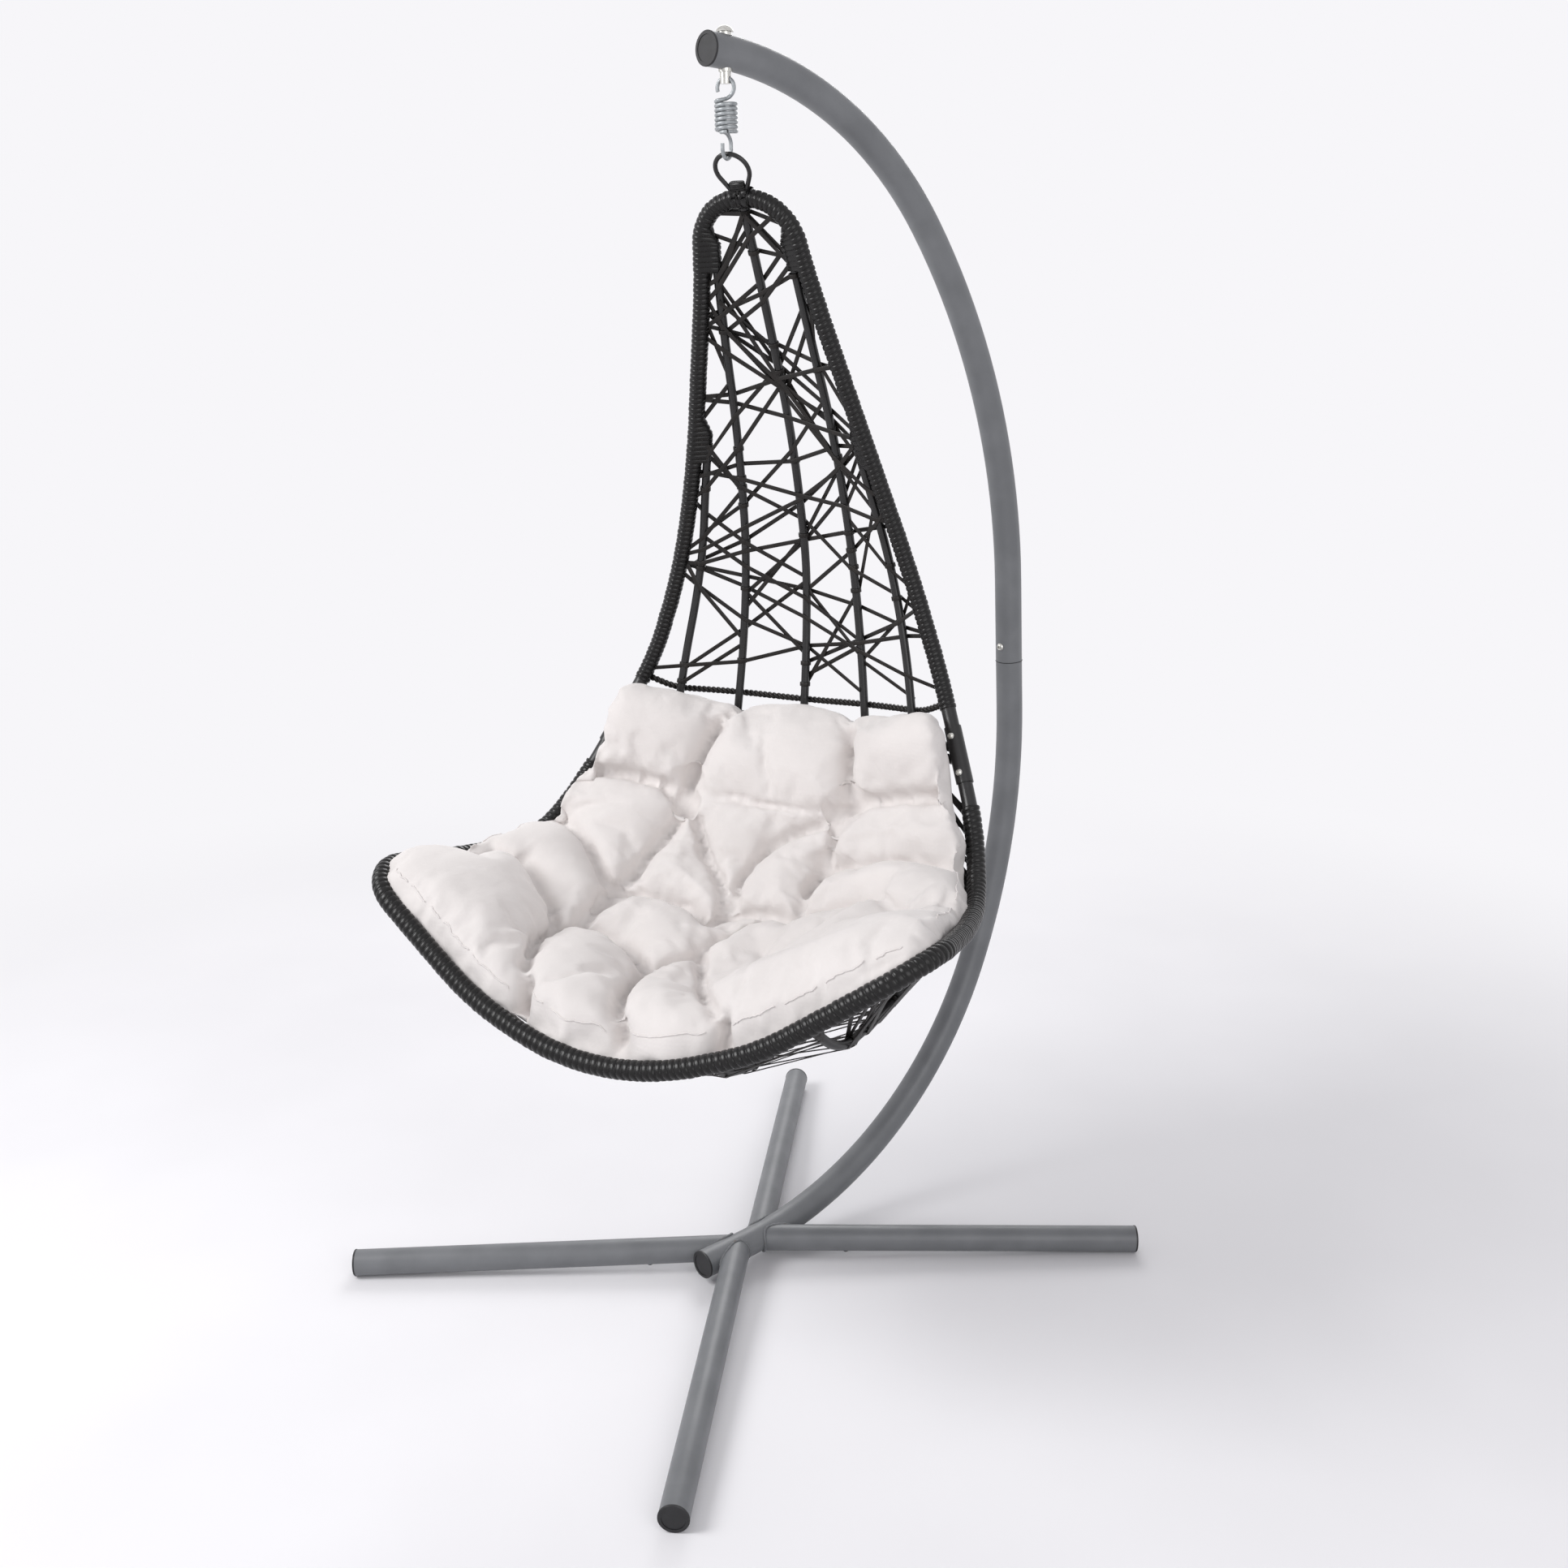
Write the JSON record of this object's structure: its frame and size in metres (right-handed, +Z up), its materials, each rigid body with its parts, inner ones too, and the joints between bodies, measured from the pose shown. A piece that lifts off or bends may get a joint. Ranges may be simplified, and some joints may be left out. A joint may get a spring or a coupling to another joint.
{
  "type": "hanging egg chair",
  "caption": "Hanging egg chair: a wicker basket seat with a tufted cushion, hung by a spring and swivel pin from a C-shaped tube stand on a cross base.",
  "frame": {"origin": "on the floor, straight below the hanging pin, which is also the middle of the cross base", "axes": "+Z up; the bent tube lies in the plane X = 0 and rises on the +Y side, and the basket opens towards -Y, turned 22 degrees about +Z as in the picture"},
  "size_m": [1.0252, 1.2336, 2.0083],
  "materials": {
    "stand_paint": "satin",
    "black_plastic": "satin",
    "black_steel": "satin",
    "zinc_steel": "satin",
    "spring_steel": "satin",
    "black_frame": "satin",
    "wicker": "satin",
    "cushion_cloth": "matte"
  },
  "bodies": {
    "stand": {"arc_bolt": "zinc_steel", "arc_nut": "zinc_steel", "base_cap": "black_plastic", "hanger_bush": "zinc_steel", "leg_back": "stand_paint", "leg_cap_back": "black_plastic", "leg_cap_front": "black_plastic", "leg_cap_left": "black_plastic", "leg_cap_right": "black_plastic", "leg_front": "stand_paint", "leg_left": "stand_paint", "leg_right": "stand_paint", "leg_screws": "black_steel", "leg_stub_back": "stand_paint", "leg_stub_front": "stand_paint", "leg_stub_left": "stand_paint", "leg_stub_right": "stand_paint", "lower_arc": "stand_paint", "tip_cap": "black_plastic", "upper_arc": "stand_paint"},
    "hanger_pin": {"hanger_pin": "zinc_steel"},
    "spring": {"spring_coil": "spring_steel"},
    "spring_foot": {"spring_hook": "spring_steel"},
    "basket": {"back_rib_centre": "black_frame", "back_rib_inner_left": "black_frame", "back_rib_inner_right": "black_frame", "back_rib_outer_left": "black_frame", "back_rib_outer_right": "black_frame", "cushion": "cushion_cloth", "edge_strand": "wicker", "hang_ring": "black_frame", "hoop_wrap": "wicker", "lower_cross_bar": "black_frame", "rim_wrap": "wicker", "ring_lashing": "wicker", "seat_rib_centre": "black_frame", "seat_rib_inner_left": "black_frame", "seat_rib_inner_right": "black_frame", "seat_rib_outer_left": "black_frame", "seat_rib_outer_right": "black_frame", "seat_rim": "black_frame", "sleeve_bolts": "zinc_steel", "sleeve_left": "black_frame", "sleeve_nuts": "zinc_steel", "sleeve_right": "black_frame", "upper_cross_bar": "black_frame", "upper_hoop": "black_frame", "weave_back_inner_left": "wicker", "weave_back_inner_right": "wicker", "weave_back_middle_left": "wicker", "weave_back_middle_right": "wicker", "weave_back_outer_left": "wicker", "weave_back_outer_right": "wicker", "weave_seat_inner_left": "wicker", "weave_seat_inner_right": "wicker", "weave_seat_middle_left": "wicker", "weave_seat_middle_right": "wicker", "weave_seat_outer_left": "wicker", "weave_seat_outer_right": "wicker"}
  },
  "joints": [
    {"name": "hanger_swivel", "type": "hinge", "parent": "stand", "child": "hanger_pin", "pos_m": [0, 0, 1.93], "axis": [0, 0, 1], "range_deg": [-60, 60]},
    {"name": "hook_swing", "type": "hinge", "parent": "hanger_pin", "child": "spring", "pos_m": [0, 0, 1.938], "axis": [0.9272, 0.3746, 0], "range_deg": [-12, 12]},
    {"name": "spring_stretch", "type": "slide", "parent": "spring", "child": "spring_foot", "axis": [0, 0, -1], "range_m": [0, 0.035], "stiffness_N_per_m": 27000, "springref_m": -0.008, "deforming": ["spring_coil"]},
    {"name": "ring_swing", "type": "hinge", "parent": "spring_foot", "child": "basket", "pos_m": [0, 0, 1.831], "axis": [0.3746, -0.9272, 0], "range_deg": [-8, 8]}
  ]
}
